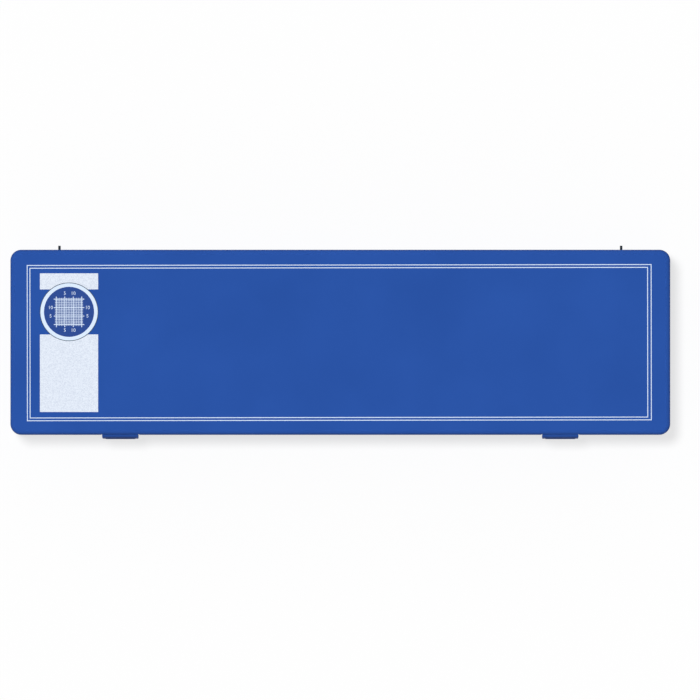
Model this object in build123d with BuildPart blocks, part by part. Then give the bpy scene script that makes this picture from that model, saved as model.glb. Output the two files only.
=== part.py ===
"""Fitted plastic case for a digital micrometer and a 150 mm caliper: a moulded base and lid joined by two
wire-pinned hinges, closed by two swinging latches, with a laminated foam nest inside.

Millimetres. X runs along the case, -Y is the latch side, +Y the hinge side, +Z up. The origin lies on the
table, below the middle of the case. Sections of the hinges and latches are drawn in the YZ plane.
"""

import os
from math import radians, tan

from build123d import *

# ---- Shells -------------------------------------------------------------------------------------------
case_length = 390.0  # over the rim, where both shells are largest
case_width = 109.5
base_height = 24.0  # table to seam
lid_height = 14.0  # seam to lid top
seam_gap = 0.15
corner_radius = 6.5  # upright corners, at the rim
draft = 1.5  # degrees, on every wall that leaves the mould
wall = 2.6
floor_thickness = 2.6
top_thickness = 2.2
base_edge_radius = 2.0
lid_edge_radius = 2.5
inner_edge_radius = 1.0
rim_chamfer = 0.3
foot_width = 9.0  # the bottom rests on a ring this wide
foot_height = 0.8

# ---- Seam lip: a tongue on the base that enters the lid on its front and ends --------------------------
lip_thickness = 1.1
lip_height = 2.0
lip_clearance = 0.2
lip_rear_gap = 12.0  # the lip stops this far inside the rear face, where the lid swings

# ---- Hinges -------------------------------------------------------------------------------------------
lid_travel = 104.0  # degrees, where the rear chamfers of lid and base stop each other
stop_clearance = 2.0  # degrees left between those chamfers at full travel
hinge_inset = 2.4  # hinge axis inside the rear face
hinge_rail = 2.4  # wall in front of the axis
knuckle_radius = 2.2
knuckle_clearance = 0.3
knuckle_length = 8.4
knuckle_gap = 0.4
knuckle_count = 5  # odd, so that the base has both end knuckles
boss_wall = 2.2  # round the knuckle pockets, inside the case
pin_radius = 0.75
pin_fit = 0.03  # radial, in the base's knuckles
pin_running_fit = 0.08  # radial, in the lid's knuckles
pin_end_gap = 0.5  # between the pin's inner end and the end of its bore
pin_bend_radius = 1.3  # at the wire's centre line
pin_tail_inset = 29.0  # the bent tail of each pin, from the end of the case
pin_tail_reach = 2.3  # beyond the rear face

# ---- Latches ------------------------------------------------------------------------------------------
latch_inset = 65.0  # middle of each latch, from the end of the case
latch_width = 21.4
latch_side_clearance = 0.5
latch_reach = 1.6  # plate beyond the front face
latch_foot_reach = 2.3  # foot of the plate beyond the front face, for a finger
latch_flare = 8.0  # height over which the plate leans out to its foot
latch_plate = 1.7
latch_drop = 9.6  # below the seam
latch_barrel_radius = 3.4
latch_pivot_height = 8.2  # above the seam
latch_barrel_clearance = 0.45
latch_edge_radius = 0.4
latch_pin_radius = 0.8
latch_pin_running_fit = 0.06  # radial, in the latch
latch_pin_fit = 0.02  # radial, in the lid's cheeks
latch_pin_seat = 2.6  # length of pin in each cheek
latch_pin_end_gap = 0.2
latch_pin_neck = 1.3  # width of the slot through which the pin snaps into its seat
latch_cheek = 4.2  # lid wall on each side of the latch
latch_back_wall = 2.4
latch_pocket_depth = 2.2  # in the base, behind the plate
latch_pocket_drop = 13.5  # below the seam
keeper_proud = 1.5  # out of the pocket's floor
keeper_top = 2.6  # below the seam
keeper_shoulder = 4.4
keeper_bottom = 5.8
hook_bite = 0.8  # hook behind the keeper
hook_gap = 0.3  # hook below the keeper
hook_face = 0.8  # flat tip of the hook
grip_count = 4
grip_pitch = 1.4
grip_start = 1.6  # lowest rib, above the plate's foot
grip_radius = 0.35
grip_inset = 2.0  # hook and grip ribs stop short of the latch's ends

# ---- Foam nest ----------------------------------------------------------------------------------------
foam_clearance = 0.3
foam_floor = 3.0
foam_lower = 7.0
foam_below_rim = 0.8
nest_clearance = 1.5  # round each instrument, and the corner radius of its nest
pad_thickness = 7.5
pad_clearance = 1.5
pad_corner = 3.0

# Caliper nest, set out from the caliper's jaw end and the centre line of its beam
caliper_end_gap = 11.0  # to the left end of the case
caliper_rear_gap = 42.75  # to the rear face
caliper_length = 236.0
caliper_beam = 16.0
caliper_jaws = 27.0  # both closed jaws, along the beam
caliper_jaw_shoulder = -16.0
caliper_jaw_tip = -48.0
caliper_tip_along = (12.0, 15.0)
caliper_inside_jaws = ((6.0, 22.0), (12.0, 15.5))  # along the beam, at its edge and at the tips
caliper_inside_tip = 24.0
caliper_body_along = (14.0, 72.0)
caliper_body_across = (-21.0, 12.0)
caliper_screw_along = (39.5, 46.5)
caliper_screw_top = 21.0
caliper_roller_place = (79.0, -17.0)
caliper_roller_radius = 6.5
caliper_finger_x = 128.0

# Micrometer nest, set out from its anvil end and spindle axis, with the bow of its frame below the axis, and
# then turned end for end
micrometer_end_gap = 12.0  # to the right end of the case
micrometer_front_gap = 30.75  # to the front face
micrometer_frame = 56.0
micrometer_bow_y = -15.0  # centre of the bow's arcs
micrometer_throat_radius = 15.5
micrometer_foot = 8.0  # frame beyond the spindle axis
micrometer_spindle = 7.0
micrometer_body_along = (49.0, 96.0)
micrometer_body_across = (-13.0, 18.0)
micrometer_thimble_end = 127.0
micrometer_thimble = 19.0
micrometer_length = 140.0
micrometer_ratchet = 12.0

finger_radius = 11.0  # round finger notches beside the instruments

# Small things, set out from the same corner as the caliper
bin_place = (132.0, -41.0)  # rectangular bin for a spanner
bin_size = (84.0, 28.0)
cell_places = ((190.0, -36.0), (207.0, -36.0))  # round pockets for spare button cells
cell_radius = 6.4

# The nest foam is laid in lengths that butt against each other
joint_left = 88.5  # right of the caliper's jaw end, clear of its display
joint_middle = 179.0  # the same, between the bin and the cells
joint_right = 87.0  # left of the micrometer's anvil end
joint_gap = 0.2

# ---- Labels -------------------------------------------------------------------------------------------
label_inset = 34.8  # middle of the labels and the badge, from the left end of the case
label_width = 34.4
label_thickness = 0.2
label_upper_gaps = (23.55, 14.05)  # its edges, from the rear face
label_lower_gaps = (13.55, 50.15)  # its edges, from the front face and from the rear face
badge_diameter = 34.6
badge_rear_gap = 36.8
badge_thickness = 0.3

# ---- Worked out from the above ------------------------------------------------------------------------
seam = base_height
lid_bottom = seam + seam_gap
lid_top = base_height + lid_height
lid_ceiling = lid_top - top_thickness
front = -case_width / 2
rear = case_width / 2
axis_y = rear - hinge_inset
mouth_length = case_length - 2 * wall
mouth_front = front + wall
mouth_rear = axis_y - hinge_rail
mouth_width = mouth_rear - mouth_front
mouth_y = (mouth_front + mouth_rear) / 2
mouth_corner = corner_radius - wall
lip_end = rear - lip_rear_gap
groove_slope = tan(radians((lid_travel + stop_clearance) / 2))
knuckle_pitch = knuckle_length + knuckle_gap
pocket_radius = knuckle_radius + knuckle_clearance
pin_tail_x = case_length / 2 - pin_tail_inset
hinge_outer = pin_tail_x - pin_bend_radius
hinge_inner = hinge_outer - knuckle_count * knuckle_pitch + knuckle_gap
tail_room_end = pin_tail_x + pin_radius + knuckle_clearance
tail_end = rear + pin_tail_reach
boss_front = axis_y - pocket_radius - boss_wall
boss_along = (hinge_inner - boss_wall, tail_room_end + boss_wall)
latch_x = case_length / 2 - latch_inset
latch_room = latch_width + 2 * latch_side_clearance
latch_block = latch_room + 2 * latch_cheek
latch_face = front - latch_reach
latch_inner = latch_face + latch_plate
latch_bottom = seam - latch_drop
pivot_y = latch_face + latch_barrel_radius
pivot_z = seam + latch_pivot_height
lid_room_back = pivot_y + latch_barrel_radius + latch_barrel_clearance
lid_room_top = pivot_z + latch_barrel_radius + latch_barrel_clearance
lid_block_back = lid_room_back + latch_back_wall
base_room_back = front + latch_pocket_depth
base_room_bottom = seam - latch_pocket_drop
base_block_back = base_room_back + latch_back_wall
keeper_front = base_room_back - keeper_proud
hook_top = seam - keeper_bottom - hook_gap
hook_tip = keeper_front + hook_bite
foam_shrink = foam_clearance + (base_height - floor_thickness) * tan(radians(draft))
foam_top = seam - foam_below_rim
caliper_place = (caliper_end_gap - case_length / 2, rear - caliper_rear_gap)
micrometer_place = (case_length / 2 - micrometer_end_gap, front + micrometer_front_gap)
foam_lengths = {
    "jaws": (-case_length / 2, caliper_place[0] + joint_left),
    "bin": (caliper_place[0] + joint_left, caliper_place[0] + joint_middle),
    "cells": (caliper_place[0] + joint_middle, micrometer_place[0] - joint_right),
    "bow": (micrometer_place[0] - joint_right, case_length / 2),
}
label_x = label_inset - case_length / 2
label_spans = {
    "upper": (rear - label_upper_gaps[0], rear - label_upper_gaps[1]),
    "lower": (front + label_lower_gaps[0], rear - label_lower_gaps[1]),
}
badge_y = rear - badge_rear_gap
beyond = 1.0  # how far a cut runs past the surface that it opens
sides = {"left": -1, "right": 1}


# ---- Small shapes, made in whatever part or sketch is open --------------------------------------------
def block(x, y, z, mode=Mode.ADD):
    """A block between (low, high) pairs."""
    with Locations(((x[0] + x[1]) / 2, (y[0] + y[1]) / 2, (z[0] + z[1]) / 2)):
        Box(x[1] - x[0], y[1] - y[0], z[1] - z[0], mode=mode)


def bar(center_x, length, corners, mode=Mode.ADD):
    """A straight bar along X, whose YZ section has the given corners."""
    with BuildSketch(Plane.YZ.offset(center_x - length / 2)) as section:
        with BuildLine():
            Polyline(*corners, close=True)
        make_face()
    extrude(section.sketch, amount=length, mode=mode)


def rods(radius, along, center, mode=Mode.ADD):
    """Two round rods along X, one on each side of the case, about a (y, z) centre."""
    length = along[1] - along[0]
    for side in sides.values():
        with BuildSketch(Plane.YZ.offset(side * (along[0] + along[1]) / 2 - length / 2)) as section:
            with Locations(center):
                Circle(radius)
        extrude(section.sketch, amount=length, mode=mode)


def knuckles(first, radius, mode=Mode.ADD, gap=0.0):
    """Every second knuckle about the hinge axis: first is 0 for the base's and 1 for the lid's."""
    for number in range(first, knuckle_count, 2):
        start = hinge_inner + number * knuckle_pitch
        rods(radius, (start - gap, start + knuckle_length + gap), (axis_y, seam), mode)


def hinge_room():
    """Room for the bent tail of each pin, and the way in along the axis for its straight length."""
    rods(pocket_radius, (hinge_outer, tail_room_end), (axis_y, seam), Mode.SUBTRACT)
    rods(pin_radius + knuckle_clearance, (hinge_outer, case_length / 2), (axis_y, seam), Mode.SUBTRACT)


def rear_groove(direction):
    """The chamfer along the rear edge: direction is -1 for the base and 1 for the lid."""
    reach = hinge_inset + beyond
    corners = (
        (axis_y, seam),
        (axis_y + reach, seam + direction * reach * groove_slope),
        (axis_y + reach, seam - direction * beyond),
        (axis_y, seam - direction * beyond),
    )
    bar(0, case_length, corners, Mode.SUBTRACT)


def mouth_ring(thickness, clearance):
    """A ring round the mouth, open along the rear and at the latches."""
    with Locations((0, mouth_y)):
        RectangleRounded(mouth_length + 2 * thickness, mouth_width + 2 * thickness, mouth_corner + thickness)
        RectangleRounded(mouth_length, mouth_width, mouth_corner, mode=Mode.SUBTRACT)
    with Locations((0, lip_end - clearance)):
        Rectangle(case_length, case_width, align=(Align.CENTER, Align.MIN), mode=Mode.SUBTRACT)
    with Locations((-latch_x, front), (latch_x, front)):
        Rectangle(latch_block + 2 * clearance, 4 * wall, mode=Mode.SUBTRACT)


def strip(along, across):
    """A rectangle between (low, high) pairs."""
    with Locations(((along[0] + along[1]) / 2, (across[0] + across[1]) / 2)):
        Rectangle(along[1] - along[0], across[1] - across[0])


def jaw(root_along, root_y, tip_along, tip_y):
    """A four-sided jaw that narrows from its root to its tip."""
    corners = ((root_along[0], root_y), (root_along[1], root_y), (tip_along[1], tip_y), (tip_along[0], tip_y))
    Polygon(*corners, align=None)


# ---- Base shell ---------------------------------------------------------------------------------------
with BuildPart() as base_shell:
    with BuildSketch(Plane.XY.offset(seam)):
        RectangleRounded(case_length, case_width, corner_radius)
    extrude(amount=-base_height, taper=draft)
    fillet(base_shell.faces().sort_by(Axis.Z)[0].edges(), base_edge_radius)
    chamfer(base_shell.faces().sort_by(Axis.Z)[-1].edges(), rim_chamfer)
    with BuildSketch(Plane.XY.offset(seam)):
        with Locations((0, mouth_y)):
            RectangleRounded(mouth_length, mouth_width, mouth_corner)
    extrude(amount=floor_thickness - base_height, taper=draft, mode=Mode.SUBTRACT)
    with BuildSketch():
        RectangleRounded(case_length - 2 * foot_width, case_width - 2 * foot_width, corner_radius)
    extrude(amount=foot_height, mode=Mode.SUBTRACT)
    with BuildSketch(Plane.XY.offset(seam)):
        mouth_ring(lip_thickness, lip_clearance)
    extrude(amount=lip_height)

    for side in sides.values():
        x = side * latch_x
        block_x = (x - latch_block / 2, x + latch_block / 2)
        block(block_x, (front + wall / 2, base_block_back), (floor_thickness - beyond, seam))
        latch_pocket = (
            (front - beyond, seam + beyond),
            (base_room_back, seam + beyond),
            (base_room_back, base_room_bottom + latch_pocket_depth),
            (front - beyond, base_room_bottom - beyond),
        )
        bar(x, latch_room, latch_pocket, Mode.SUBTRACT)
        keeper = (
            (base_room_back + beyond, seam - keeper_top),
            (base_room_back, seam - keeper_top),
            (keeper_front, seam - keeper_shoulder),
            (keeper_front, seam - keeper_bottom),
            (base_room_back + beyond, seam - keeper_bottom),
        )
        bar(x, latch_room, keeper)
        boss_x = sorted((side * boss_along[0], side * boss_along[1]))
        block(boss_x, (boss_front, axis_y), (floor_thickness - beyond, seam))

    rear_groove(-1)
    knuckles(1, pocket_radius, Mode.SUBTRACT, knuckle_gap)
    hinge_room()
    knuckles(0, knuckle_radius)
    knuckles(0, pin_radius + pin_fit, Mode.SUBTRACT)

# ---- Lid shell ----------------------------------------------------------------------------------------
with BuildPart() as lid_shell:
    with BuildSketch(Plane.XY.offset(lid_bottom)):
        RectangleRounded(case_length, case_width, corner_radius)
    extrude(amount=lid_top - lid_bottom, taper=draft)
    fillet(lid_shell.faces().sort_by(Axis.Z)[-1].edges(), lid_edge_radius)
    chamfer(lid_shell.faces().sort_by(Axis.Z)[0].edges(), rim_chamfer)
    with BuildSketch(Plane.XY.offset(lid_bottom)):
        with Locations((0, mouth_y)):
            RectangleRounded(mouth_length, mouth_width, mouth_corner)
    extrude(amount=lid_ceiling - lid_bottom, taper=draft, mode=Mode.SUBTRACT)
    ceiling = lid_shell.faces().filter_by(Plane.XY).sort_by(Axis.Z)[-2]
    fillet(ceiling.edges(), inner_edge_radius)
    with BuildSketch(Plane.XY.offset(lid_bottom)):
        mouth_ring(lip_thickness + lip_clearance, 0)
    extrude(amount=lip_height, mode=Mode.SUBTRACT)

    for side in sides.values():
        x = side * latch_x
        block_x = (x - latch_block / 2, x + latch_block / 2)
        block(block_x, (front + wall / 2, lid_block_back), (lid_bottom, lid_ceiling + beyond))
        room_x = (x - latch_room / 2, x + latch_room / 2)
        block(room_x, (front - beyond, lid_room_back), (seam, lid_room_top), Mode.SUBTRACT)
        seat_length = latch_room + 2 * latch_pin_seat
        seat_x = (x - seat_length / 2, x + seat_length / 2)
        neck_y = (pivot_y - latch_pin_neck / 2, pivot_y + latch_pin_neck / 2)
        block(seat_x, neck_y, (seam, pivot_z), Mode.SUBTRACT)
        boss_x = sorted((side * boss_along[0], side * boss_along[1]))
        block(boss_x, (boss_front, axis_y), (lid_bottom, lid_ceiling + beyond))
        tail_x = sorted((side * hinge_outer, side * tail_room_end))
        tail_top = seam + tail_end - axis_y + knuckle_clearance
        block(tail_x, (axis_y - pocket_radius, rear + beyond), (seam, tail_top), Mode.SUBTRACT)
    seat_along = (latch_x - seat_length / 2, latch_x + seat_length / 2)
    rods(latch_pin_radius + latch_pin_fit, seat_along, (pivot_y, pivot_z), Mode.SUBTRACT)

    rear_groove(1)
    knuckles(0, pocket_radius, Mode.SUBTRACT, knuckle_gap)
    hinge_room()
    knuckles(1, knuckle_radius)
    knuckles(1, pin_radius + pin_running_fit, Mode.SUBTRACT)

os.makedirs("parts", exist_ok=True)
base_shell.part.label = "base_shell"
export_step(base_shell.part, "parts/base_shell.step")
lid_shell.part.label = "lid_shell"
export_step(lid_shell.part, "parts/lid_shell.step")

# ---- Hinge pins, latches and latch pins ---------------------------------------------------------------
for name, side in sides.items():
    with BuildPart() as hinge_pin:
        pin_start = side * (hinge_inner + pin_end_gap)
        with BuildLine():
            FilletPolyline(
                (pin_start, axis_y, seam),
                (side * pin_tail_x, axis_y, seam),
                (side * pin_tail_x, tail_end, seam),
                radius=pin_bend_radius,
            )
        with BuildSketch(Plane.YZ.offset(pin_start)):
            with Locations((axis_y, seam)):
                Circle(pin_radius)
        sweep()
    hinge_pin.part.label = f"hinge_pin_{name}"
    export_step(hinge_pin.part, f"parts/hinge_pin_{name}.step")

    x = side * latch_x
    with BuildPart() as latch:
        with BuildSketch(Plane.YZ.offset(x - latch_width / 2)):
            with Locations((pivot_y, pivot_z)):
                Circle(latch_barrel_radius)
            with BuildLine():
                Polyline(
                    (latch_face, pivot_z),
                    (latch_face, latch_bottom + latch_flare),
                    (front - latch_foot_reach, latch_bottom),
                    (latch_inner, latch_bottom),
                    (latch_inner, pivot_z),
                    close=True,
                )
            make_face()
        extrude(amount=latch_width)
        fillet(latch.faces().filter_by(Axis.X).edges(), latch_edge_radius)
        hook = (
            (latch_inner - latch_plate / 2, hook_top),
            (hook_tip, hook_top),
            (hook_tip, hook_top - hook_face),
            (latch_inner, hook_top - hook_face - hook_tip + latch_inner),
            (latch_inner - latch_plate / 2, hook_top - hook_face - hook_tip + latch_inner),
        )
        bar(x, latch_width - 2 * grip_inset, hook)
        for number in range(grip_count):
            grip_height = grip_start + number * grip_pitch
            grip_y = latch_face - (latch_foot_reach - latch_reach) * (1 - grip_height / latch_flare)
            with BuildSketch(Plane.YZ.offset(x - latch_width / 2 + grip_inset)):
                with Locations((grip_y, latch_bottom + grip_height)):
                    Circle(grip_radius)
            extrude(amount=latch_width - 2 * grip_inset)
        with BuildSketch(Plane.YZ.offset(x - latch_width / 2)):
            with Locations((pivot_y, pivot_z)):
                Circle(latch_pin_radius + latch_pin_running_fit)
        extrude(amount=latch_width, mode=Mode.SUBTRACT)
    latch.part.label = f"latch_{name}"
    export_step(latch.part, f"parts/latch_{name}.step")

    with BuildPart() as latch_pin:
        pin_length = seat_length - 2 * latch_pin_end_gap
        with BuildSketch(Plane.YZ.offset(x - pin_length / 2)):
            with Locations((pivot_y, pivot_z)):
                Circle(latch_pin_radius)
        extrude(amount=pin_length)
    latch_pin.part.label = f"latch_pin_{name}"
    export_step(latch_pin.part, f"parts/latch_pin_{name}.step")

# ---- Foam nest: a floor sheet and two die-cut layers, glued to each other ------------------------------
with BuildSketch() as foam_outline:
    with Locations((0, mouth_y)):
        foam_size = (mouth_length - 2 * foam_shrink, mouth_width - 2 * foam_shrink)
        RectangleRounded(*foam_size, mouth_corner)
    for side in sides.values():
        with Locations((side * latch_x, front)):
            notch_depth = base_block_back + foam_clearance - front
            Rectangle(latch_block + 2 * foam_clearance, 2 * notch_depth, mode=Mode.SUBTRACT)
        with Locations((side * (boss_along[0] + boss_along[1]) / 2, rear)):
            notch_length = boss_along[1] - boss_along[0] + 2 * foam_clearance
            Rectangle(notch_length, 2 * (rear - boss_front + foam_clearance), mode=Mode.SUBTRACT)

with BuildSketch() as caliper_thick:
    strip(caliper_body_along, caliper_body_across)
    strip((caliper_body_along[1], caliper_roller_place[0]), (caliper_roller_place[1], -caliper_beam / 2))
    with Locations(caliper_roller_place):
        Circle(caliper_roller_radius)
    offset(amount=nest_clearance)
    with Locations((caliper_finger_x, caliper_beam / 2), (caliper_finger_x, -caliper_beam / 2)):
        Circle(finger_radius)

with BuildSketch() as caliper_whole:
    strip((0, caliper_length), (-caliper_beam / 2, caliper_beam / 2))
    strip((0, caliper_jaws), (caliper_jaw_shoulder, caliper_beam / 2))
    jaw((0, caliper_jaws), caliper_jaw_shoulder, caliper_tip_along, caliper_jaw_tip)
    jaw(caliper_inside_jaws[0], caliper_beam / 2, caliper_inside_jaws[1], caliper_inside_tip)
    strip(caliper_screw_along, (0, caliper_screw_top))
    offset(amount=nest_clearance)
    add(caliper_thick.sketch)

with BuildSketch() as micrometer:
    frame_middle = micrometer_frame / 2
    with Locations((frame_middle, micrometer_bow_y)):
        Circle(frame_middle)
    strip((0, micrometer_frame), (micrometer_bow_y, micrometer_foot))
    with Locations((frame_middle, micrometer_bow_y)):
        Circle(micrometer_throat_radius, mode=Mode.SUBTRACT)
        Rectangle(
            2 * micrometer_throat_radius,
            micrometer_frame,
            align=(Align.CENTER, Align.MIN),
            mode=Mode.SUBTRACT,
        )
    strip((0, micrometer_frame), (-micrometer_spindle / 2, micrometer_spindle / 2))
    strip(micrometer_body_along, micrometer_body_across)
    strip((micrometer_frame, micrometer_thimble_end), (-micrometer_thimble / 2, micrometer_thimble / 2))
    strip((micrometer_frame, micrometer_length), (-micrometer_ratchet / 2, micrometer_ratchet / 2))
    offset(amount=nest_clearance)
    finger_x = (micrometer_body_along[1] + micrometer_thimble_end) / 2
    with Locations((finger_x, micrometer_thimble / 2), (finger_x, -micrometer_thimble / 2)):
        Circle(finger_radius)

with BuildSketch() as small_things:
    with Locations(bin_place):
        RectangleRounded(*bin_size, 2 * nest_clearance)
    with Locations(*cell_places):
        Circle(cell_radius)

lower_bottom = floor_thickness + foam_floor
top_bottom = lower_bottom + foam_lower
with BuildPart() as foam_floor_sheet:
    with BuildSketch(Plane.XY.offset(floor_thickness)):
        add(foam_outline.sketch)
    extrude(amount=foam_floor)
foam_floor_sheet.part.label = "foam_floor_sheet"
export_step(foam_floor_sheet.part, "parts/foam_floor_sheet.step")

nest_layers = (
    ("lower", lower_bottom, top_bottom, caliper_thick),
    ("top", top_bottom, foam_top, caliper_whole),
)
for layer, bottom, top, caliper in nest_layers:
    for name, span in foam_lengths.items():
        with BuildPart() as foam:
            with BuildSketch(Plane.XY.offset(bottom)):
                add(foam_outline.sketch)
                with Locations(caliper_place):
                    add(caliper.sketch, mode=Mode.SUBTRACT)
                    add(small_things.sketch, mode=Mode.SUBTRACT)
                with Locations(micrometer_place):
                    add(micrometer.sketch, rotation=180, mode=Mode.SUBTRACT)
                with Locations(((span[0] + span[1]) / 2, 0)):
                    Rectangle(span[1] - span[0] - joint_gap, case_width, mode=Mode.INTERSECT)
            extrude(amount=top - bottom)
        foam.part.label = f"foam_{layer}_{name}"
        export_step(foam.part, f"parts/foam_{layer}_{name}.step")

# ---- Lid pad ------------------------------------------------------------------------------------------
with BuildPart() as lid_pad:
    pad_front = lid_block_back + pad_clearance
    pad_rear = boss_front - pad_clearance
    with BuildSketch(Plane.XY.offset(lid_ceiling - pad_thickness)):
        with Locations((0, (pad_front + pad_rear) / 2)):
            RectangleRounded(mouth_length - 2 * pad_clearance, pad_rear - pad_front, pad_corner)
    extrude(amount=pad_thickness)
lid_pad.part.label = "lid_pad"
export_step(lid_pad.part, "parts/lid_pad.step")

# ---- Labels on the lid --------------------------------------------------------------------------------
for name, span in label_spans.items():
    with BuildPart() as label:
        with BuildSketch(Plane.XY.offset(lid_top)):
            strip((label_x - label_width / 2, label_x + label_width / 2), span)
            with Locations((label_x, badge_y)):
                Circle(badge_diameter / 2, mode=Mode.SUBTRACT)
        extrude(amount=label_thickness)
    label.part.label = f"label_{name}"
    export_step(label.part, f"parts/label_{name}.step")

with BuildPart() as badge:
    with BuildSketch(Plane.XY.offset(lid_top)):
        with Locations((label_x, badge_y)):
            Circle(badge_diameter / 2)
    extrude(amount=badge_thickness)
badge.part.label = "badge"
export_step(badge.part, "parts/badge.step")
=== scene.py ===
"""Looks of a hinged instrument case: moulded blue shells with a printed border, film labels and a plain
badge on the lid, and inside them a die-cut foam nest and a convoluted lid pad.

Metres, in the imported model's frame: X along the case, -Y the latch side, +Y the hinge side, +Z up. Lengths
whose names end in _MM are in millimetres, and MM turns them to metres.
"""

import math

import bmesh
import bpy
from mathutils import Matrix, Vector


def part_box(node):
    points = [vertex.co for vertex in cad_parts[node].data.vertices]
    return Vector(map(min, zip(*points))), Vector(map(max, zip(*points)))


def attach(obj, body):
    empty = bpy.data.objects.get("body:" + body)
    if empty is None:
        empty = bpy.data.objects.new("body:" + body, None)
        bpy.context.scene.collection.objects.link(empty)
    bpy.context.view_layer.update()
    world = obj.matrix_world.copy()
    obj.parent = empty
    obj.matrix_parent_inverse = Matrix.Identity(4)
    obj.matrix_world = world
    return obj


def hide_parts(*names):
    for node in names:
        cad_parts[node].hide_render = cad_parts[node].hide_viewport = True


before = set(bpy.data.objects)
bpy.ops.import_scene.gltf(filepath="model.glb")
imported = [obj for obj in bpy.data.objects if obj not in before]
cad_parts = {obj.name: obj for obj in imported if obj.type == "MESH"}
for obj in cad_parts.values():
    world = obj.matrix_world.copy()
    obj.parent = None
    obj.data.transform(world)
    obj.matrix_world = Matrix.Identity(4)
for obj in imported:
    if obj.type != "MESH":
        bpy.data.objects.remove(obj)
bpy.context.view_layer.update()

MM = 0.001
LID_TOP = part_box("lid_shell")[1].z

# ---- Building nodes, meshes and pieces ----------------------------------------------------------------
WELD = 1e-7  # vertices nearer than this are one
LIP_STEPS = 3  # in the rounding of a sheet's edge
CIRCLE_STEPS = 96
NOISE_DETAIL = 3.0
NOISE_ENDS = (0.3, 0.7)  # nearly all of a noise texture lies between these
NOISE_SPREAD = {"From Min": NOISE_ENDS[0], "From Max": NOISE_ENDS[1]}


def linear(code):
    """An sRGB hex colour as Blender's linear one."""
    channels = [int(code[i : i + 2], 16) / 255 for i in (1, 3, 5)]
    return [c / 12.92 if c <= 0.04045 else ((c + 0.055) / 1.055) ** 2.4 for c in channels] + [1.0]


def add(tree, kind, inputs=None, stops=(), **settings):
    """Adds a node. inputs gives each socket a value, another node's socket, or a node for its first
    output. stops gives a colour ramp its positions and colours."""
    node = tree.nodes.new(kind)
    for name, value in settings.items():
        setattr(node, name, value)
    for name, value in (inputs or {}).items():
        if isinstance(value, bpy.types.Node):
            value = value.outputs[0]
        if isinstance(value, bpy.types.NodeSocket):
            tree.links.new(value, node.inputs[name])
        else:
            node.inputs[name].default_value = value
    stops = list(stops)
    for position, _ in stops[1:-1]:
        node.color_ramp.elements.new(position)
    for number, (position, colour) in enumerate(stops):
        node.color_ramp.elements[number].position = position
        node.color_ramp.elements[number].color = linear(colour)
    return node


def emptied_tree(owner):
    """The node tree of a material or a world, with nothing in it."""
    owner.use_nodes = True
    owner.node_tree.nodes.clear()
    return owner.node_tree


def start_material(name):
    """A new material. Returns it, its empty tree and its Object coordinates."""
    material = bpy.data.materials.new(name)
    tree = emptied_tree(material)
    return material, tree, add(tree, "ShaderNodeTexCoord").outputs["Object"]


def scale_for(size_mm):
    """The scale of a texture whose features are about size_mm across."""
    return 1 / (size_mm * MM)


def new_object(name, data):
    """A new object in the scene."""
    made = bpy.data.objects.new(name, data)
    bpy.context.scene.collection.objects.link(made)
    return made


def plain_mesh(holder):
    """The plain mesh that an object's curves, text or nodes come to. The object itself is removed."""
    graph = bpy.context.evaluated_depsgraph_get()
    finished = holder.evaluated_get(graph)
    mesh = bpy.data.meshes.new_from_object(finished, preserve_all_data_layers=True, depsgraph=graph)
    bpy.data.objects.remove(holder)
    return mesh


def tidy_mesh(mesh, smooth_below=35.0):
    """Welds a mesh's doubles, turns its faces outwards, and shades it smooth but for edges that turn by
    more than smooth_below degrees."""
    work = bmesh.new()
    work.from_mesh(mesh)
    bmesh.ops.remove_doubles(work, verts=work.verts, dist=WELD)
    bmesh.ops.recalc_face_normals(work, faces=work.faces)
    work.to_mesh(mesh)
    work.free()
    mesh.shade_smooth()
    mesh.set_sharp_from_angle(angle=math.radians(smooth_below))
    return mesh


def sheet_mesh(name, outlines, low, high, lip=0.0):
    """A level sheet from low to high. outlines are loops of (x, y): its edge, and its holes inside that.
    The upper and lower edges of every loop are rounded over by lip."""
    curve = bpy.data.curves.new(name, "CURVE")
    curve.dimensions = "2D"
    curve.fill_mode = "BOTH"
    curve.extrude = (high - low) / 2 - lip
    curve.bevel_depth = lip
    curve.bevel_resolution = LIP_STEPS
    curve.offset = -lip
    for outline in outlines:
        spline = curve.splines.new("POLY")
        spline.points.add(len(outline) - 1)
        for point, (x, y) in zip(spline.points, outline):
            point.co = (x, y, 0, 1)
        spline.use_cyclic_u = True
    mesh = plain_mesh(new_object(name, curve))
    mesh.transform(Matrix.Translation((0, 0, (low + high) / 2)))
    return tidy_mesh(mesh)


def rectangle(left, front, right, rear):
    """A rectangle's outline."""
    return [(left, front), (right, front), (right, rear), (left, rear)]


def circle(centre, radius):
    """A circle's outline."""
    turns = (2 * math.pi * step / CIRCLE_STEPS for step in range(CIRCLE_STEPS))
    return [(centre.x + radius * math.cos(turn), centre.y + radius * math.sin(turn)) for turn in turns]


def start_tree(name, sizes):
    """A Geometry Nodes tree with a named input for each size. Returns it and those inputs' sockets."""
    tree = bpy.data.node_groups.new(name, "GeometryNodeTree")
    tree.interface.new_socket("Geometry", in_out="OUTPUT", socket_type="NodeSocketGeometry")
    for size, value in sizes.items():
        kind = "NodeSocketInt" if isinstance(value, int) else "NodeSocketFloat"
        tree.interface.new_socket(size, in_out="INPUT", socket_type=kind)
    return tree, add(tree, "NodeGroupInput").outputs


def end_tree(tree, geometry, material):
    """Ends a tree with real, not instanced, geometry in its material."""
    real = add(tree, "GeometryNodeRealizeInstances", {"Geometry": geometry})
    finished = add(tree, "GeometryNodeSetMaterial", {"Geometry": real, "Material": material})
    add(tree, "NodeGroupOutput", {"Geometry": finished})


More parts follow.
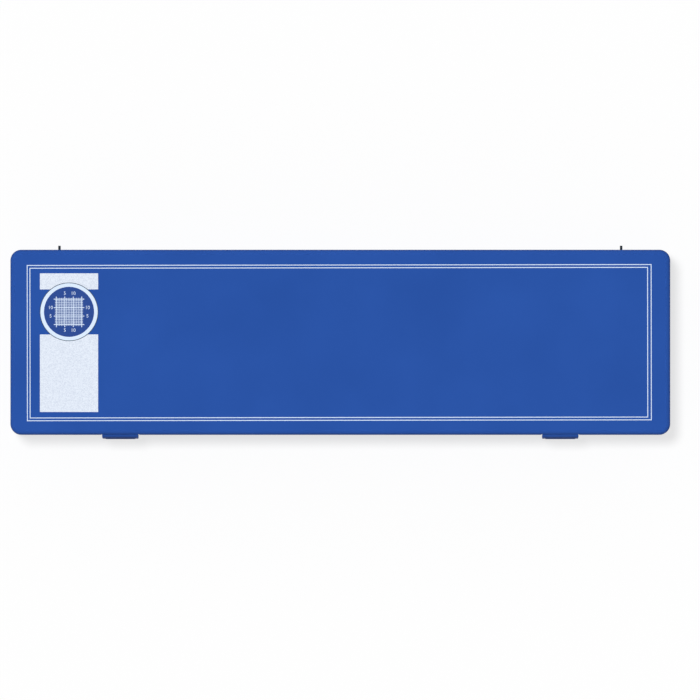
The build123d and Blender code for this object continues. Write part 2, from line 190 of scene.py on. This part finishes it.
def grow(tree, sizes):
    """The plain mesh that a Geometry Nodes tree makes at these sizes."""
    holder = new_object(tree.name, bpy.data.meshes.new(tree.name))
    modifier = holder.modifiers.new(tree.name, "NODES")
    modifier.node_group = tree
    for socket in tree.interface.items_tree:
        if socket.in_out == "INPUT":
            modifier[socket.identifier] = sizes[socket.name]
    mesh = plain_mesh(holder)
    if mesh.materials[0] is None:
        mesh.materials.pop(index=0)
    return mesh


def new_piece(name, mesh, body, stands_for=(), material=None):
    """A finished mesh as a piece that rides on a body."""
    piece = new_object(name, mesh)
    if material:
        mesh.materials.clear()
        mesh.materials.append(material)
    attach(piece, body)
    if stands_for:
        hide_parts(*stands_for)
    return piece


def paint(nodes, material):
    """Gives CAD nodes their finish."""
    for name in nodes:
        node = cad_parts[name]
        node.data.materials.clear()
        node.data.materials.append(material)


# ---- Camera, floor and light --------------------------------------------------------------------------
IMAGE_PIXELS = 700
PIXELS_PER_MM = 1.6934  # at the top of the lid
CAMERA_PLACE_MM = (5.72, -4.58)
CAMERA_HEIGHT = 15.0  # above the top of the lid
CAMERA_REACH = (0.1, 30.0)  # the nearest and the farthest that it sees
SENSOR_MM = 36.0
FLOOR_SIZE = 8.0
FLOOR_WHITE = 0.97  # so that with the lights it is just white
SHADOW_SHARE = 0.25  # of the floor's brightness, that the lights and not its own white give
HORIZON = 1.0  # the surround at eye level, as it is seen and mirrored
CEILING = 0.12  # and above, where the camera hangs
CEILING_EDGE = (0.15, 0.75)  # where one fades into the other, as the sine of the elevation
FILL = 0.6  # the surround's light on the object, as a share of how bright it looks
BOUNCE = 0.25  # how much of their light the table throws back on the object
LAMP_STRENGTH = 2.85
LAMP_TILT = (9.0, 9.0)  # degrees from upright, towards the left and towards the rear
LAMP_SPREAD = 12.0  # degrees across, for soft shadows


def make_camera():
    """A long lens, straight above the lid."""
    data = bpy.data.cameras.new("camera")
    data.sensor_width = SENSOR_MM
    data.lens = SENSOR_MM * CAMERA_HEIGHT / (IMAGE_PIXELS / PIXELS_PER_MM * MM)
    data.clip_start, data.clip_end = CAMERA_REACH
    camera = new_object("camera", data)
    x, y = CAMERA_PLACE_MM
    camera.location = (x * MM, y * MM, LID_TOP + CAMERA_HEIGHT)
    bpy.context.scene.camera = camera


def seen(tree):
    """1 for rays that see or mirror or look through to something, 0 for those that gather its light."""
    ray = add(tree, "ShaderNodeLightPath").outputs
    mirrors = {0: ray["Is Glossy Ray"], 1: ray["Is Transmission Ray"]}
    mirrored = add(tree, "ShaderNodeMath", mirrors, operation="MAXIMUM")
    return add(tree, "ShaderNodeMath", {0: ray["Is Camera Ray"], 1: mirrored}, operation="MAXIMUM")


def make_surround():
    """A white studio that darkens overhead, so that a level surface seen from above keeps its colour."""
    world = bpy.data.worlds.new("studio")
    bpy.context.scene.world = world
    tree = emptied_tree(world)
    direction = add(tree, "ShaderNodeTexCoord").outputs["Generated"]
    height = add(tree, "ShaderNodeSeparateXYZ", {0: direction}).outputs["Z"]
    low, high = CEILING_EDGE
    fade = {"Value": height, "From Min": low, "From Max": high, "To Min": HORIZON, "To Max": CEILING}
    level = add(tree, "ShaderNodeMapRange", fade, interpolation_type="SMOOTHSTEP")
    share = add(tree, "ShaderNodeMapRange", {"Value": seen(tree), "To Min": FILL, "To Max": 1.0})
    strength = add(tree, "ShaderNodeMath", {0: level, 1: share}, operation="MULTIPLY")
    light = add(tree, "ShaderNodeBackground", {"Color": linear("#ffffff"), "Strength": strength})
    add(tree, "ShaderNodeOutputWorld", {"Surface": light})


def make_lamp():
    """One broad lamp above the upper left, which no surface mirrors."""
    data = bpy.data.lights.new("lamp", "SUN")
    data.energy = LAMP_STRENGTH
    data.angle = math.radians(LAMP_SPREAD)
    lamp = new_object("lamp", data)
    left, rear = (math.tan(math.radians(tilt)) for tilt in LAMP_TILT)
    lamp.rotation_euler = Vector((left, -rear, -1)).to_track_quat("-Z", "Y").to_euler()
    lamp.visible_glossy = False


def make_floor():
    """A white table that keeps a faint shadow."""
    material = bpy.data.materials.new("white_table")
    tree = emptied_tree(material)
    own_white = add(tree, "ShaderNodeEmission", {"Color": linear("#ffffff"), "Strength": FLOOR_WHITE})
    lit_white = add(tree, "ShaderNodeBsdfDiffuse", {"Color": linear("#ffffff")})
    lit_grey = add(tree, "ShaderNodeBsdfDiffuse", {"Color": (BOUNCE, BOUNCE, BOUNCE, 1)})
    shown = add(tree, "ShaderNodeMixShader", {0: SHADOW_SHARE, 1: own_white, 2: lit_white})
    surface = add(tree, "ShaderNodeMixShader", {0: seen(tree), 1: lit_grey, 2: shown})
    add(tree, "ShaderNodeOutputMaterial", {"Surface": surface})
    half = FLOOR_SIZE / 2
    corners = [(x, y, 0) for x, y in rectangle(-half, -half, half, half)]
    mesh = bpy.data.meshes.new("table_top")
    mesh.from_pydata(corners, [], [range(len(corners))])
    mesh.materials.append(material)
    new_object("table_top", mesh)


# ---- Moulded shells, latches and pins -----------------------------------------------------------------
CASE_BLUES = ("#274f9e", "#2a53a4")
PIGMENT_CLOUD_MM = 45.0
OXIDE_MOTTLE_MM = 0.5
SCRATCH_MM = 0.12
SCRATCH_STRETCH = 0.03  # their scale along the wire, as a share of that across it
UNDERSIDE_RECESS_MM = 0.8  # the underside stands this high inside its foot ring
MARK_RADIUS_MM = 4.0
MARK_HEIGHT_MM = 0.12
MARK_STEPS = 32
MARK_ROWS = (2, 5)  # across and along the underside
MARK_SPACING_MM = (62.0, 80.0)


def moulded_plastic(name, roughness, grain_mm, grain_depth_mm):
    """Pigmented ABS. A spark-eroded mould gives it an even, slightly grained satin. The grain is drawn
    several times as coarse as it is, so that it shows."""
    material, tree, place = start_material(name)
    cloud_size = {"Vector": place, "Scale": scale_for(PIGMENT_CLOUD_MM), "Detail": NOISE_DETAIL}
    cloud = add(tree, "ShaderNodeTexNoise", cloud_size)
    colour = add(tree, "ShaderNodeValToRGB", {"Fac": cloud}, stops=zip(NOISE_ENDS, CASE_BLUES))
    grain_size = {"Vector": place, "Scale": scale_for(grain_mm), "Detail": NOISE_DETAIL}
    grain = add(tree, "ShaderNodeTexNoise", grain_size)
    low, high = roughness
    satin = {"Value": grain, **NOISE_SPREAD, "To Min": low, "To Max": high}
    dullness = add(tree, "ShaderNodeMapRange", satin)
    relief = {"Height": grain, "Strength": 1.0, "Distance": grain_depth_mm * MM}
    bump = add(tree, "ShaderNodeBump", relief)
    finish = {
        "Base Color": colour,
        "Roughness": dullness,
        "IOR": 1.53,
        "Specular IOR Level": 0.1,
        "Normal": bump,
    }
    shader = add(tree, "ShaderNodeBsdfPrincipled", finish)
    add(tree, "ShaderNodeOutputMaterial", {"Surface": shader})
    return material


def blackened_wire():
    """Steel wire under black oxide, which gives it a dull, nearly black face with a little mottle."""
    material, tree, place = start_material("blackened_steel_wire")
    mottle_size = {"Vector": place, "Scale": scale_for(OXIDE_MOTTLE_MM), "Detail": NOISE_DETAIL}
    mottle = add(tree, "ShaderNodeTexNoise", mottle_size)
    blacks = zip(NOISE_ENDS, ("#1f252a", "#31393f"))
    colour = add(tree, "ShaderNodeValToRGB", {"Fac": mottle}, stops=blacks)
    oxide = {"Value": mottle, **NOISE_SPREAD, "To Min": 0.42, "To Max": 0.6}
    dullness = add(tree, "ShaderNodeMapRange", oxide)
    finish = {"Base Color": colour, "Roughness": dullness, "Specular IOR Level": 0.4}
    shader = add(tree, "ShaderNodeBsdfPrincipled", finish)
    add(tree, "ShaderNodeOutputMaterial", {"Surface": shader})
    return material


def drawn_wire():
    """Bright drawn steel wire, with faint scratches along X, the way it was pulled through its die. They
    are drawn coarser than they are, so that they show."""
    material, tree, place = start_material("drawn_steel_wire")
    stretch = {"Vector": place, "Scale": (SCRATCH_STRETCH, 1.0, 1.0)}
    stretched = add(tree, "ShaderNodeMapping", stretch)
    scratch_size = {"Vector": stretched, "Scale": scale_for(SCRATCH_MM)}
    scratches = add(tree, "ShaderNodeTexNoise", scratch_size)
    greys = zip(NOISE_ENDS, ("#8d9196", "#b4b7ba"))
    colour = add(tree, "ShaderNodeValToRGB", {"Fac": scratches}, stops=greys)
    shine = {"Value": scratches, **NOISE_SPREAD, "To Min": 0.22, "To Max": 0.4}
    dullness = add(tree, "ShaderNodeMapRange", shine)
    finish = {"Base Color": colour, "Roughness": dullness, "Metallic": 1.0}
    shader = add(tree, "ShaderNodeBsdfPrincipled", finish)
    add(tree, "ShaderNodeOutputMaterial", {"Surface": shader})
    return material


def make_ejector_marks(material):
    """Faint round marks under the base, where the mould's ejector pins pushed it out."""
    sizes = {
        "Radius": MARK_RADIUS_MM * MM,
        "Height": MARK_HEIGHT_MM * MM,
        "Across": MARK_ROWS[0],
        "Along": MARK_ROWS[1],
        "Spacing Across": MARK_SPACING_MM[0] * MM,
        "Spacing Along": MARK_SPACING_MM[1] * MM,
    }
    tree, size = start_tree("ejector_marks", sizes)
    rows = {"Vertices X": size["Along"], "Vertices Y": size["Across"]}
    for side, way in (("Size X", "Along"), ("Size Y", "Across")):
        gaps = add(tree, "ShaderNodeMath", {0: size[way], 1: 1}, operation="SUBTRACT")
        extent = {0: gaps, 1: size[f"Spacing {way}"]}
        rows[side] = add(tree, "ShaderNodeMath", extent, operation="MULTIPLY")
    pattern = add(tree, "GeometryNodeMeshGrid", rows)
    disc_size = {"Vertices": MARK_STEPS, "Radius": size["Radius"], "Depth": size["Height"]}
    disc = add(tree, "GeometryNodeMeshCylinder", disc_size)
    discs = {"Points": pattern.outputs["Mesh"], "Instance": disc.outputs["Mesh"]}
    marks = add(tree, "GeometryNodeInstanceOnPoints", discs)
    end_tree(tree, marks, material)
    mesh = grow(tree, sizes)
    mesh.transform(Matrix.Translation((0, 0, (UNDERSIDE_RECESS_MM - MARK_HEIGHT_MM / 2) * MM)))
    new_piece("ejector_marks", tidy_mesh(mesh), "base")


# ---- Foam ---------------------------------------------------------------------------------------------
FOAM_LAYERS = {
    "foam_floor_layer": ("foam_floor_sheet",),
    "foam_lower_layer": ("foam_lower_jaws", "foam_lower_bin", "foam_lower_cells", "foam_lower_bow"),
    "foam_top_layer": ("foam_top_jaws", "foam_top_bin", "foam_top_cells", "foam_top_bow"),
}
FOAM_LIP_MM = 0.7  # the die drags the skin down at every cut edge
FOAM_CELL_MM = 0.7
FOAM_PATCH_MM = 14.0
FOAM_CELL_SHARE = 0.55  # how much its cells shade the foam
FOAM_PATCH_SHARE = 0.5  # and how much the patches of its skin do
SKIN_PORE_DEPTH_MM = 0.1
CUT_PORE_DEPTH_MM = 0.35
TRIANGLE_WELD = 1e-6  # for a CAD node's loose triangles
LEVEL_WITHIN = 1e-6
FACES_UP = 0.9  # the least upward part of an upper face's normal
BUTT_REACH_MM = 0.15  # vertices this near to where two lengths of foam butt are moved onto the butt
BUTT_WELD = 2e-5  # and then are one when nearer than this
PAD_PORE_MM = 0.7
PAD_PORE_DEPTH_MM = 0.35
PAD_SPECK_MM = 1.6
PAD_PITCH_MM = 19.0  # from one peak of the lid pad to the next
PAD_DEPTH_MM = 4.6  # from its peaks to its valleys
PAD_STEP_MM = 1.5  # of its mesh
PAD_CORNER_MM = 3.0
PAD_SMOOTH_BELOW = 50.0  # degrees


def nest_foam():
    """Charcoal closed-cell polyethylene: a dull skin with fine pores, which open where it was cut."""
    material, tree, place = start_material("closed_cell_foam")
    cell_size = {"Vector": place, "Scale": scale_for(FOAM_CELL_MM)}
    cell = add(tree, "ShaderNodeTexVoronoi", cell_size, feature="F1").outputs["Distance"]
    patch_size = {"Vector": place, "Scale": scale_for(FOAM_PATCH_MM), "Detail": NOISE_DETAIL}
    patches = add(tree, "ShaderNodeTexNoise", patch_size)
    blotches = add(tree, "ShaderNodeMath", {0: patches, 1: FOAM_PATCH_SHARE}, operation="MULTIPLY")
    both = {0: cell, 1: FOAM_CELL_SHARE, 2: blotches}
    shade = add(tree, "ShaderNodeMath", both, operation="MULTIPLY_ADD")
    charcoals = ((0.25, "#252629"), (0.75, "#383a3d"))
    colour = add(tree, "ShaderNodeValToRGB", {"Fac": shade}, stops=charcoals)
    normal = add(tree, "ShaderNodeNewGeometry").outputs["Normal"]
    facing = add(tree, "ShaderNodeSeparateXYZ", {0: normal}).outputs["Z"]
    level = add(tree, "ShaderNodeMath", {0: facing}, operation="ABSOLUTE")
    pores = {"Value": level, "To Min": CUT_PORE_DEPTH_MM * MM, "To Max": SKIN_PORE_DEPTH_MM * MM}
    depth = add(tree, "ShaderNodeMapRange", pores)
    height = add(tree, "ShaderNodeMath", {0: cell, 1: depth}, operation="MULTIPLY")
    bump = add(tree, "ShaderNodeBump", {"Height": height, "Strength": 1.0, "Distance": 1.0})
    finish = {"Base Color": colour, "Roughness": 0.92, "Specular IOR Level": 0.25, "Normal": bump}
    shader = add(tree, "ShaderNodeBsdfPrincipled", finish)
    add(tree, "ShaderNodeOutputMaterial", {"Surface": shader})
    return material


def pad_foam():
    """Charcoal open-cell polyurethane, soft and matt, with a fine sponge of open pores."""
    material, tree, place = start_material("open_cell_foam")
    speck_size = {"Vector": place, "Scale": scale_for(PAD_SPECK_MM), "Detail": NOISE_DETAIL}
    speck = add(tree, "ShaderNodeTexNoise", speck_size)
    charcoals = zip(NOISE_ENDS, ("#303236", "#46494e"))
    colour = add(tree, "ShaderNodeValToRGB", {"Fac": speck}, stops=charcoals)
    pore_size = {"Vector": place, "Scale": scale_for(PAD_PORE_MM)}
    pore = add(tree, "ShaderNodeTexVoronoi", pore_size, feature="F1").outputs["Distance"]
    relief = {"Height": pore, "Strength": 0.7, "Distance": PAD_PORE_DEPTH_MM * MM}
    bump = add(tree, "ShaderNodeBump", relief)
    finish = {
        "Base Color": colour,
        "Roughness": 0.97,
        "Specular IOR Level": 0.15,
        "Sheen Weight": 0.12,
        "Normal": bump,
    }
    shader = add(tree, "ShaderNodeBsdfPrincipled", finish)
    add(tree, "ShaderNodeOutputMaterial", {"Surface": shader})
    return material


def cut_outlines(nodes):
    """The edge and the holes of a foam layer, read from the upper faces of the butted lengths it lies in."""
    layer = bmesh.new()
    for node in nodes:
        layer.from_mesh(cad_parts[node].data)
    bmesh.ops.remove_doubles(layer, verts=layer.verts, dist=TRIANGLE_WELD)
    layer.normal_update()
    boxes = sorted((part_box(node) for node in nodes), key=lambda box: box[0].x)
    butts = [(one[1].x + other[0].x) / 2 for one, other in zip(boxes, boxes[1:])]
    near = BUTT_REACH_MM * MM
    top = boxes[0][1].z

    for edge in layer.edges:
        level = all(abs(vert.co.z - top) < LEVEL_WITHIN for vert in edge.verts)
        ups = sum(face.normal.z > FACES_UP for face in edge.link_faces)
        between = any(all(abs(vert.co.x - butt) < near for vert in edge.verts) for butt in butts)
        edge.seam = level and ups == 1 and not between
    for vert in layer.verts:
        for butt in butts:
            if abs(vert.co.x - butt) < near:
                vert.co.x = butt
    bmesh.ops.remove_doubles(layer, verts=layer.verts, dist=BUTT_WELD)
    outlines = []
    left = [edge for edge in layer.edges if edge.seam]
    while left:
        edge = left.pop()
        start, vert = edge.verts
        loop = [start]
        while vert is not start:
            loop.append(vert)
            edge = next(e for e in vert.link_edges if e in left)
            left.remove(edge)
            vert = edge.other_vert(vert)
        outlines.append(without_straight_points([v.co.to_2d() for v in loop]))
    layer.free()
    return outlines


def without_straight_points(points, least_turn=0.3):
    """An outline without the points where it turns by no more than least_turn degrees."""
    kept = []
    for before, point, after in zip(points[-1:] + points[:-1], points, points[1:] + points[:1]):
        turn = (point - before).angle(after - point, 0.0)
        if math.degrees(turn) > least_turn:
            kept.append(tuple(point))
    return kept


def make_foam_nest():
    """Three glued sheets: a plain floor, and two with the nests die-cut through them."""
    foam = nest_foam()
    for name, nodes in FOAM_LAYERS.items():
        low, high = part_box(nodes[0])
        mesh = sheet_mesh(name, cut_outlines(nodes), low.z, high.z, FOAM_LIP_MM * MM)
        layer = new_piece(name, mesh, "base", nodes, foam)


def round_corners(tree, block, corner):
    """Where a block's vertices lie once those outside its rounded corners are drawn in to the arcs."""
    place = add(tree, "GeometryNodeInputPosition")
    half = add(tree, "ShaderNodeVectorMath", {0: block, "Scale": 0.5}, operation="SCALE")
    arc = add(tree, "ShaderNodeCombineXYZ", {"X": corner, "Y": corner})
    core = add(tree, "ShaderNodeVectorMath", {0: half, 1: arc}, operation="SUBTRACT")
    away = add(tree, "ShaderNodeVectorMath", {0: place}, operation="ABSOLUTE")
    inner = add(tree, "ShaderNodeVectorMath", {0: away, 1: core}, operation="MINIMUM")
    beyond = add(tree, "ShaderNodeVectorMath", {0: away, 1: inner}, operation="SUBTRACT")
    length = add(tree, "ShaderNodeVectorMath", {0: beyond}, operation="LENGTH").outputs["Value"]
    reach = add(tree, "ShaderNodeMath", {0: length, 1: corner}, operation="MINIMUM")
    outward = add(tree, "ShaderNodeVectorMath", {0: beyond}, operation="NORMALIZE")
    rounded = add(tree, "ShaderNodeVectorMath", {0: outward, "Scale": reach}, operation="SCALE")
    drawn_in = add(tree, "ShaderNodeVectorMath", {0: inner, 1: rounded}, operation="ADD")
    sides = add(tree, "ShaderNodeVectorMath", {0: place}, operation="SIGN")
    return add(tree, "ShaderNodeVectorMath", {0: drawn_in, 1: sides}, operation="MULTIPLY")


def carve_valleys(tree, place, pitch, depth):
    """How far each vertex of a block is raised, so that rows of soft peaks are left on its lower face."""
    along = add(tree, "ShaderNodeMath", {0: 2 * math.pi, 1: pitch}, operation="DIVIDE")
    turns = add(tree, "ShaderNodeVectorMath", {0: place, "Scale": along}, operation="SCALE")
    waves = add(tree, "ShaderNodeVectorMath", {0: turns}, operation="COSINE")
    wave = add(tree, "ShaderNodeSeparateXYZ", {0: waves}).outputs
    crossed = add(tree, "ShaderNodeMath", {0: wave["X"], 1: wave["Y"]}, operation="MULTIPLY")
    valleys = add(tree, "ShaderNodeMath", {0: crossed, 1: -0.5, 2: 0.5}, operation="MULTIPLY_ADD")
    carved = add(tree, "ShaderNodeMath", {0: valleys, 1: depth}, operation="MULTIPLY")
    height = add(tree, "ShaderNodeSeparateXYZ", {0: place}).outputs["Z"]
    lower = add(tree, "ShaderNodeMath", {0: height, 1: 0.0}, operation="LESS_THAN")
    rise = add(tree, "ShaderNodeMath", {0: carved, 1: lower}, operation="MULTIPLY")
    return add(tree, "ShaderNodeCombineXYZ", {"Z": rise})


def make_lid_pad():
    """Convoluted foam glued into the lid: rows of soft peaks that hold the instruments down."""
    low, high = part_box("lid_pad")
    whole = high - low
    sizes = {
        "Length": whole.x,
        "Width": whole.y,
        "Thickness": whole.z,
        "Corner": PAD_CORNER_MM * MM,
        "Pitch": whole.x / round(whole.x / (PAD_PITCH_MM * MM)),
        "Depth": PAD_DEPTH_MM * MM,
        "Columns": round(whole.x / (PAD_STEP_MM * MM)),
        "Rows": round(whole.y / (PAD_STEP_MM * MM)),
    }
    tree, size = start_tree("convoluted_pad", sizes)
    lengths = {"X": size["Length"], "Y": size["Width"], "Z": size["Thickness"]}
    block = add(tree, "ShaderNodeCombineXYZ", lengths)
    steps = {"Vertices X": size["Columns"], "Vertices Y": size["Rows"], "Vertices Z": 2}
    slab = add(tree, "GeometryNodeMeshCube", {"Size": block, **steps})
    flat = round_corners(tree, block, size["Corner"])
    lift = carve_valleys(tree, flat, size["Pitch"], size["Depth"])
    carved = add(tree, "ShaderNodeVectorMath", {0: flat, 1: lift}, operation="ADD")
    moved = {"Geometry": slab.outputs["Mesh"], "Position": carved}
    end_tree(tree, add(tree, "GeometryNodeSetPosition", moved), pad_foam())
    mesh = grow(tree, sizes)
    mesh.transform(Matrix.Translation((low + high) / 2))
    tidy_mesh(mesh, PAD_SMOOTH_BELOW)
    pad = new_piece("lid_pad_convoluted", mesh, "lid", ("lid_pad",))


# ---- Print, labels and badge on the lid ---------------------------------------------------------------
PRINT = 0.04 * MM  # thickness of a layer of ink
INK_MESH_MM = 0.8
INK_RELIEF_MM = 0.004
HALFTONE_MM = 0.5
FILM_RELIEF_MM = 0.004
# the outer and the inner line of the border, from the lid's left, front, right and rear
BORDER_INSETS_MM = ((10.14, 8.66, 11.39, 9.06), (11.74, 10.3, 13.49, 10.71))
BORDER_LINE_WIDTH_MM = 0.47
BORDER_SKEW = 0.085  # degrees, by which the screen lay askew on the lid
BADGE_EDGE_MM = 0.4  # dark edge of the film, outside its pale frame
BADGE_FRAME_MM = 2.1
GRID_MM = 15.0
GRID_PITCH_MM = 1.0
GRID_HEAVY_EVERY = 5
GRID_LINES_MM = (0.45, 0.24)  # widths of its heavy and its fine lines
GRID_TICKS_MM = (1.5, 0.8)  # how far they run on past its edge
FIGURES = (5, 10)  # along the grid's sides, in millimetres
FIGURE_HEIGHT_MM = 2.0
FIGURE_DISTANCE_MM = 10.9  # from the badge's middle to the middle of its figures
FIGURE_STEPS = 4  # in each of its curves
FONT_SHARE = 0.7  # a figure's height, as a share of the font's size


def screen_ink(name, colours):
    """Opaque screen-printed ink, satin, a little uneven where the screen's mesh let it through. The mesh
    is drawn several times as coarse as it is, so that it shows."""
    material, tree, place = start_material(name)
    weave_size = {"Vector": place, "Scale": scale_for(INK_MESH_MM)}
    weave = add(tree, "ShaderNodeTexNoise", weave_size)
    colour = add(tree, "ShaderNodeValToRGB", {"Fac": weave}, stops=zip(NOISE_ENDS, colours))
    relief = {"Height": weave, "Strength": 1.0, "Distance": INK_RELIEF_MM * MM}
    bump = add(tree, "ShaderNodeBump", relief)
    finish = {"Base Color": colour, "Roughness": 0.5, "IOR": 1.48, "Normal": bump}
    shader = add(tree, "ShaderNodeBsdfPrincipled", finish)
    add(tree, "ShaderNodeOutputMaterial", {"Surface": shader})
    return material


def label_film():
    """Satin polyester film printed a cool white, with a faint speckle from the halftone, which is drawn
    some three times as coarse as it is, so that it shows."""
    material, tree, place = start_material("printed_polyester_film")
    speckle_size = {"Vector": place, "Scale": scale_for(HALFTONE_MM), "Detail": NOISE_DETAIL}
    speckle = add(tree, "ShaderNodeTexNoise", speckle_size)
    whites = ((0.34, "#cfd8e8"), (0.5, "#e0e8f5"), (0.66, "#eaf2fd"))
    colour = add(tree, "ShaderNodeValToRGB", {"Fac": speckle}, stops=whites)
    relief = {"Height": speckle, "Strength": 1.0, "Distance": FILM_RELIEF_MM * MM}
    bump = add(tree, "ShaderNodeBump", relief)
    finish = {"Base Color": colour, "Roughness": 0.42, "IOR": 1.57, "Normal": bump}
    shader = add(tree, "ShaderNodeBsdfPrincipled", finish)
    add(tree, "ShaderNodeOutputMaterial", {"Surface": shader})
    return material


def make_border_print(ink):
    """Two fine printed rectangles round the lid's top."""
    low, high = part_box("lid_shell")
    outlines = []
    for insets in BORDER_INSETS_MM:
        for line_edge in (BORDER_LINE_WIDTH_MM / 2, -BORDER_LINE_WIDTH_MM / 2):
            left, front, right, rear = ((inset - line_edge) * MM for inset in insets)
            outlines.append(rectangle(low.x + left, low.y + front, high.x - right, high.y - rear))
    mesh = sheet_mesh("printed_border", outlines, LID_TOP, LID_TOP + PRINT)
    mesh.transform(Matrix.Rotation(math.radians(BORDER_SKEW), 4, "Z"))
    new_piece("printed_border", mesh, "lid", material=ink)


def ruled_grid(sizes, material):
    """Evenly spaced bars, every so many of them heavier and longer, and the same again across them, all
    welded into one."""
    tree, size = start_tree("ruled_grid", sizes)
    gaps = add(tree, "ShaderNodeMath", {0: size["Count"], 1: 1}, operation="SUBTRACT")
    extent = add(tree, "ShaderNodeMath", {0: gaps, 1: size["Pitch"]}, operation="MULTIPLY")
    first = add(tree, "ShaderNodeMath", {0: extent, 1: -0.5}, operation="MULTIPLY")
    start = add(tree, "ShaderNodeCombineXYZ", {"X": first})
    step = add(tree, "ShaderNodeCombineXYZ", {"X": size["Pitch"]})
    row_steps = {"Count": size["Count"], "Start Location": start, "Offset": step}
    row = add(tree, "GeometryNodeMeshLine", row_steps)

    number = add(tree, "GeometryNodeInputIndex")
    turn = add(tree, "ShaderNodeMath", {0: number, 1: size["Every"]}, operation="FLOORED_MODULO")
    heavy = add(tree, "ShaderNodeMath", {0: turn, 1: 0.5}, operation="LESS_THAN")
    longer = add(tree, "ShaderNodeMath", {0: size["Long"], 1: size["Short"]}, operation="SUBTRACT")
    wider = add(tree, "ShaderNodeMath", {0: size["Wide"], 1: size["Narrow"]}, operation="SUBTRACT")
    lengths = {0: heavy, 1: longer, 2: size["Short"]}
    length = add(tree, "ShaderNodeMath", lengths, operation="MULTIPLY_ADD")
    widths = {0: heavy, 1: wider, 2: size["Narrow"]}
    width = add(tree, "ShaderNodeMath", widths, operation="MULTIPLY_ADD")
    bar_size = add(tree, "ShaderNodeCombineXYZ", {"X": width, "Y": length, "Z": size["Thickness"]})
    bar = add(tree, "GeometryNodeMeshCube", {"Size": (1, 1, 1)})
    bars = {"Points": row, "Instance": bar.outputs["Mesh"], "Scale": bar_size}
    ruled = add(tree, "GeometryNodeInstanceOnPoints", bars)

    centre = add(tree, "GeometryNodeMeshLine", {"Count": size["Ways"], "Offset": (0, 0, 0)})
    quarter = add(tree, "ShaderNodeMath", {0: number, 1: math.pi / 2}, operation="MULTIPLY")
    turned = add(tree, "ShaderNodeCombineXYZ", {"Z": quarter})
    both_ways = {"Points": centre, "Instance": ruled, "Rotation": turned}
    crossed = add(tree, "GeometryNodeInstanceOnPoints", both_ways)
    loose = add(tree, "GeometryNodeRealizeInstances", {"Geometry": crossed})
    union = {"Mesh 2": loose, "Self Intersection": True}
    welded = add(tree, "GeometryNodeMeshBoolean", union, operation="UNION", solver="EXACT")
    end_tree(tree, welded.outputs["Mesh"], material)
    return tidy_mesh(grow(tree, sizes))


def figure_mesh(text, centre):
    """One printed number, its middle at centre."""
    curve = bpy.data.curves.new("figure", "FONT")
    curve.body = text
    curve.size = FIGURE_HEIGHT_MM * MM / FONT_SHARE
    curve.align_x = "CENTER"
    curve.align_y = "CENTER"
    curve.extrude = PRINT / 2
    curve.resolution_u = FIGURE_STEPS
    mesh = plain_mesh(new_object("figure", curve))
    mesh.transform(Matrix.Translation(centre))
    return mesh


def joined(name, meshes):
    """Several meshes as one."""
    work = bmesh.new()
    for mesh in meshes:
        work.from_mesh(mesh)
    whole = bpy.data.meshes.new(name)
    work.to_mesh(whole)
    work.free()
    return tidy_mesh(whole)


def make_badge(ink):
    """A plain badge of printed film: a pale frame round a checking grid with its scale in millimetres."""
    low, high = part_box("badge")
    centre = (low + high) / 2
    half = (high.x - low.x) / 2
    insets = (0.0, BADGE_EDGE_MM, BADGE_EDGE_MM + BADGE_FRAME_MM)
    edge, field, window = (circle(centre, half - inset * MM) for inset in insets)
    face = high.z - 2 * PRINT
    slate = screen_ink("ink_slate", ("#3f4f60", "#4b5b6d"))
    deep_blue = screen_ink("ink_deep_blue", ("#2a478c", "#2f4e97"))

    plate = sheet_mesh("badge_plate", [edge], low.z, face - PRINT)
    new_piece("badge_plate", plate, "lid", ("badge",), slate)
    rim = sheet_mesh("badge_frame", [field, window], face - PRINT, face + PRINT)
    new_piece("badge_frame", rim, "lid", material=ink)
    disc = sheet_mesh("badge_field", [window], face - PRINT, face)
    new_piece("badge_field", disc, "lid", material=deep_blue)

    sizes = {
        "Count": round(GRID_MM / GRID_PITCH_MM) + 1,
        "Pitch": GRID_PITCH_MM * MM,
        "Every": GRID_HEAVY_EVERY,
        "Long": (GRID_MM + 2 * GRID_TICKS_MM[0]) * MM,
        "Short": (GRID_MM + 2 * GRID_TICKS_MM[1]) * MM,
        "Wide": GRID_LINES_MM[0] * MM,
        "Narrow": GRID_LINES_MM[1] * MM,
        "Thickness": PRINT,
        "Ways": 2,
    }
    middle = Vector((centre.x, centre.y, face + PRINT / 2))
    grid = ruled_grid(sizes, ink)
    grid.transform(Matrix.Translation(middle))
    new_piece("badge_grid", grid, "lid")

    figures = []
    far = FIGURE_DISTANCE_MM
    for value in FIGURES:
        along = value - GRID_MM / 2
        for x, y in ((along, far), (along, -far), (-far, along), (far, along)):
            figures.append(figure_mesh(str(value), middle + Vector((x, y, 0)) * MM))
    new_piece("badge_figures", joined("badge_figures", figures), "lid", material=ink)


# ---- The case -----------------------------------------------------------------------------------------
bpy.context.scene.view_settings.view_transform = "Standard"
make_camera()
make_surround()
make_lamp()
make_floor()

shell_plastic = moulded_plastic("moulded_abs_shell", (0.61, 0.73), grain_mm=0.6, grain_depth_mm=0.012)
latch_plastic = moulded_plastic("moulded_abs_latch", (0.57, 0.69), grain_mm=0.4, grain_depth_mm=0.005)
pale_ink = screen_ink("ink_ice_white", ("#d6e6fb", "#deedff"))

paint(("base_shell", "lid_shell"), shell_plastic)
paint(("latch_left", "latch_right"), latch_plastic)
paint(("hinge_pin_left", "hinge_pin_right"), blackened_wire())
paint(("latch_pin_left", "latch_pin_right"), drawn_wire())
paint(("label_upper", "label_lower"), label_film())
make_ejector_marks(shell_plastic)
make_foam_nest()
make_lid_pad()
make_border_print(pale_ink)
make_badge(pale_ink)
